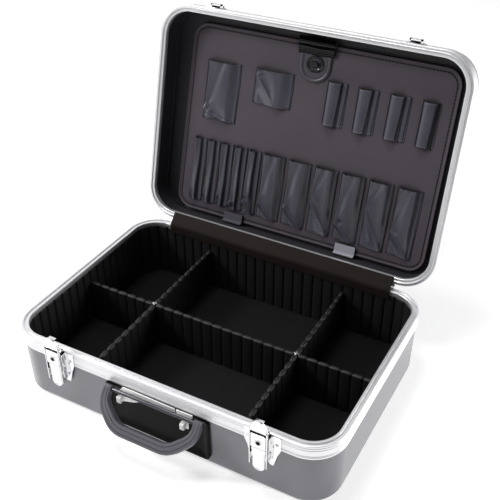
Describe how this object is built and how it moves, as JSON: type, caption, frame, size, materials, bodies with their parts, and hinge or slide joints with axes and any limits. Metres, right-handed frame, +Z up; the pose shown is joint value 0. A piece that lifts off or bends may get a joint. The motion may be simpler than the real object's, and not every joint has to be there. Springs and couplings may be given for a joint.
{
  "type": "tool case",
  "caption": "Hard-shell tool case with metal frames, hinged lid, divided base, pocketed tool panel, key latches and folding handle.",
  "frame": {"origin": "on the ground under the middle of the base, between the outer faces of its frame", "axes": "+Z up, +X to the right seen from the front, -Y towards the front with the latches and handle"},
  "size_m": [0.46, 0.481, 0.4143],
  "materials": {
    "shell": "textured moulded plastic",
    "frame": "extruded, satin",
    "lining": "black vinyl over ribbed board",
    "pad": "smooth black foam sheet",
    "divider": "moulded, ribbed",
    "steel": "plain",
    "rivet": "plain",
    "strip": "brown-black vinyl strip",
    "panel": "grey vinyl over board",
    "tab": "woven tape",
    "vinyl": "soft grey vinyl",
    "flap": "black vinyl",
    "knob": "moulded",
    "chrome": "polished",
    "handle_black": "smooth",
    "rod": "dark",
    "handle_grey": "satin"
  },
  "bodies": {
    "case": {"base_shell": "shell", "base_frame": "frame", "base_lining": "lining", "floor_pad": "pad", "divider_long": "divider", "divider_left": "divider", "divider_right": "divider", "divider_clips": "steel", "hinge_base_leaf": "steel", "hinge_pin": "steel", "hinge_rivets_base": "rivet", "hinge_cover": "strip", "latch_plate_left": "chrome", "latch_plate_right": "chrome", "lock_body_left": "chrome", "lock_body_right": "chrome", "lever_pins": "steel", "latch_rivets": "rivet", "handle_plate": "handle_black", "handle_bracket": "chrome", "handle_rod": "rod"},
    "lid": {"hinge_lid_leaf": "steel", "hinge_rivets_lid": "rivet", "lid_shell": "shell", "lid_frame": "frame", "lid_lining": "lining", "tool_panel": "panel", "panel_tabs": "tab", "large_pocket": "vinyl", "small_pocket": "vinyl", "tool_loops": "vinyl", "narrow_pockets": "vinyl", "wide_pockets_left": "vinyl", "wide_pockets_right": "vinyl", "panel_flap": "flap", "turn_lock_plate": "knob", "keeper_left": "chrome", "keeper_right": "chrome"},
    "handle": {"handle": "handle_grey"},
    "turn_knob": {"turn_lock_knob": "knob"},
    "lever_left": {"latch_lever_left": "chrome", "hook_pin_left": "steel"},
    "hook_left": {"latch_hook_left": "chrome"},
    "cylinder_left": {"lock_cylinder_left": "steel"},
    "lever_right": {"latch_lever_right": "chrome", "hook_pin_right": "steel"},
    "hook_right": {"latch_hook_right": "chrome"},
    "cylinder_right": {"lock_cylinder_right": "steel"}
  },
  "joints": [
    {"name": "lid_hinge", "type": "hinge", "parent": "case", "child": "lid", "pos_m": [0, 0.1625, 0.1002], "axis": [1, 0, 0], "range_deg": [0, 104], "deforming": ["hinge_cover"]},
    {"name": "handle_hinge", "type": "hinge", "parent": "case", "child": "handle", "pos_m": [0, -0.167, 0.074], "axis": [-1, 0, 0], "range_deg": [-34, 100]},
    {"name": "lever_hinge_left", "type": "hinge", "parent": "case", "child": "lever_left", "pos_m": [-0.145, -0.1665, 0.0755], "axis": [-1, 0, 0], "range_deg": [0, 95]},
    {"name": "hook_hinge_left", "type": "hinge", "parent": "lever_left", "child": "hook_left", "pos_m": [-0.145, -0.1665, 0.0555], "axis": [1, 0, 0], "range_deg": [0, 110]},
    {"name": "key_turn_left", "type": "hinge", "parent": "case", "child": "cylinder_left", "pos_m": [-0.145, -0.1672, 0.0895], "axis": [0, -1, 0], "range_deg": [0, 90]},
    {"name": "lever_hinge_right", "type": "hinge", "parent": "case", "child": "lever_right", "pos_m": [0.145, -0.1665, 0.0755], "axis": [-1, 0, 0], "range_deg": [0, 95]},
    {"name": "hook_hinge_right", "type": "hinge", "parent": "lever_right", "child": "hook_right", "pos_m": [0.145, -0.1665, 0.0555], "axis": [1, 0, 0], "range_deg": [0, 110]},
    {"name": "key_turn_right", "type": "hinge", "parent": "case", "child": "cylinder_right", "pos_m": [0.145, -0.1672, 0.0895], "axis": [0, -1, 0], "range_deg": [0, 90]},
    {"name": "turn_lock", "type": "hinge", "parent": "lid", "child": "turn_knob", "pos_m": [0.003, 0.25583, 0.35426], "axis": [0, -0.9632, 0.2689], "range_deg": [0, 90]}
  ],
  "couplings": [
    {"joint": "hook_hinge_left", "follows": "lever_hinge_left", "ratio": 1.15},
    {"joint": "hook_hinge_right", "follows": "lever_hinge_right", "ratio": 1.15}
  ]
}
